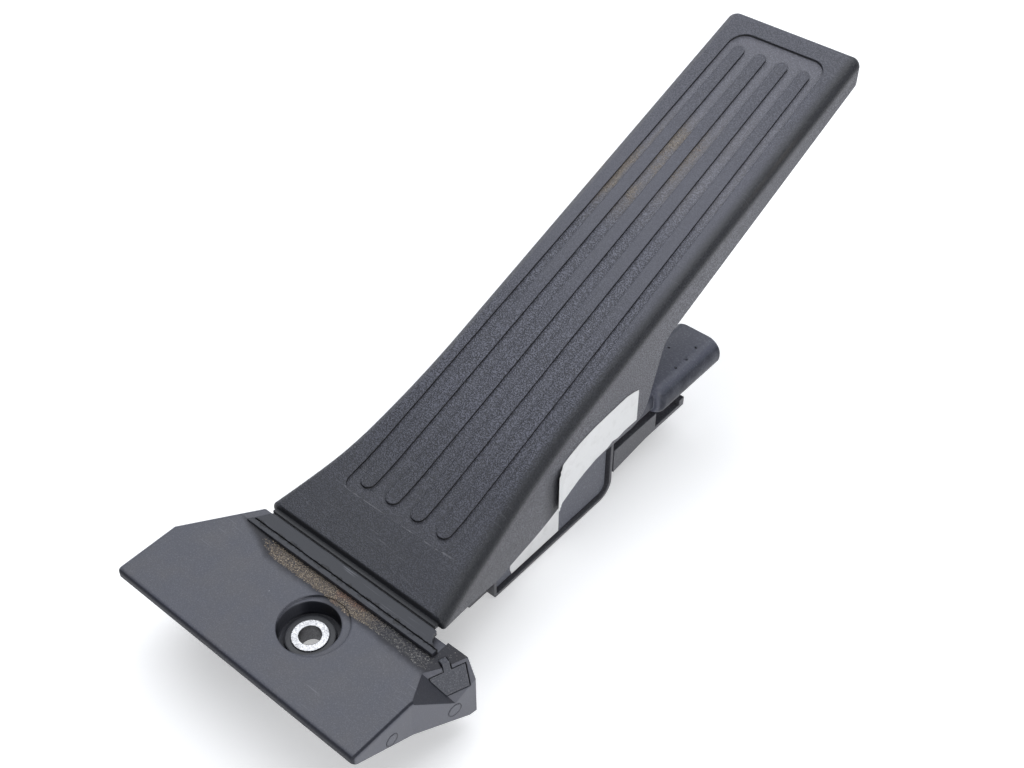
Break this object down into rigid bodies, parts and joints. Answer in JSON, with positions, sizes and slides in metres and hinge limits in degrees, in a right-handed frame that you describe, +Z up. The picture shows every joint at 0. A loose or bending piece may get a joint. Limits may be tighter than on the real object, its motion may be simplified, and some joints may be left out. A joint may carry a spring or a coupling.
{
  "type": "accelerator pedal",
  "caption": "Floor-hinged accelerator pedal: long ribbed tread pad on a film hinge over a wedge heel base with bolt bush, sprung lever and sensor housing with plug socket.",
  "frame": {"origin": "on the axis of the floor bolt's bush in the heel base, at the bush's lower face", "axes": "+X to the plug side, +Y from the heel to the toe of the pad, +Z up from the floor"},
  "size_m": [0.1023, 0.2706, 0.112],
  "materials": {
    "base_plastic": "satin black moulding with rubbed edges",
    "hinge_plastic": "satin black moulding, dusty",
    "pad_plastic": "fine-grained black moulding",
    "housing_plastic": "smooth black moulding",
    "cover_plastic": "smooth dark grey moulding",
    "plug_plastic": "satin black moulding",
    "lever_plastic": "glass-filled moulding",
    "shoe_plastic": "natural acetal",
    "friction_plastic": "self-lubricating moulding",
    "bush_steel": "turned and zinc plated",
    "screw_steel": "zinc plated",
    "shaft_steel": "ground",
    "spring_steel": "drawn wire, oiled",
    "stop_rubber": "moulded rubber",
    "magnet": "plastic-bonded magnet",
    "board": "coated circuit board",
    "chip": "moulded package",
    "pin_metal": "tin plated"
  },
  "bodies": {
    "module": {"base": "base_plastic", "floor_bolt_bush": "bush_steel", "hinge_strip": "hinge_plastic", "end_clip": "hinge_plastic", "base_screws": "screw_steel", "housing": "housing_plastic", "side_cover": "cover_plastic", "connector_shroud": "plug_plastic", "connector_terminals": "pin_metal", "upper_bolt_bush": "bush_steel", "pivot_shaft": "shaft_steel", "shaft_ring": "screw_steel", "friction_shoe": "friction_plastic", "full_stop_bumper": "stop_rubber", "rest_stop_bumper": "stop_rubber", "sensor_board": "board", "hall_chips": "chip", "outer_spring": "spring_steel", "inner_spring": "spring_steel"},
    "pad": {"pad": "pad_plastic"},
    "lever": {"lever_arm": "lever_plastic", "slide_shoe": "shoe_plastic", "spring_seat": "shoe_plastic", "magnet_ring": "magnet"}
  },
  "joints": [
    {"name": "pad_hinge", "type": "hinge", "parent": "module", "child": "pad", "pos_m": [-0.006, 0.0225, 0.0106], "axis": [-1, 0, 0], "range_deg": [0, 12], "stiffness_Nm_per_rad": 4, "springref_deg": -22.92},
    {"name": "lever_pivot", "type": "hinge", "parent": "module", "child": "lever", "pos_m": [-0.006, 0.0685, 0.002], "axis": [-1, 0, 0], "range_deg": [0, 21.5], "stiffness_Nm_per_rad": 1, "springref_deg": -28.65, "deforming": ["outer_spring", "inner_spring"]}
  ],
  "couplings": [
    {"joint": "lever_pivot", "follows": "pad_hinge", "ratio": 1.757}
  ]
}
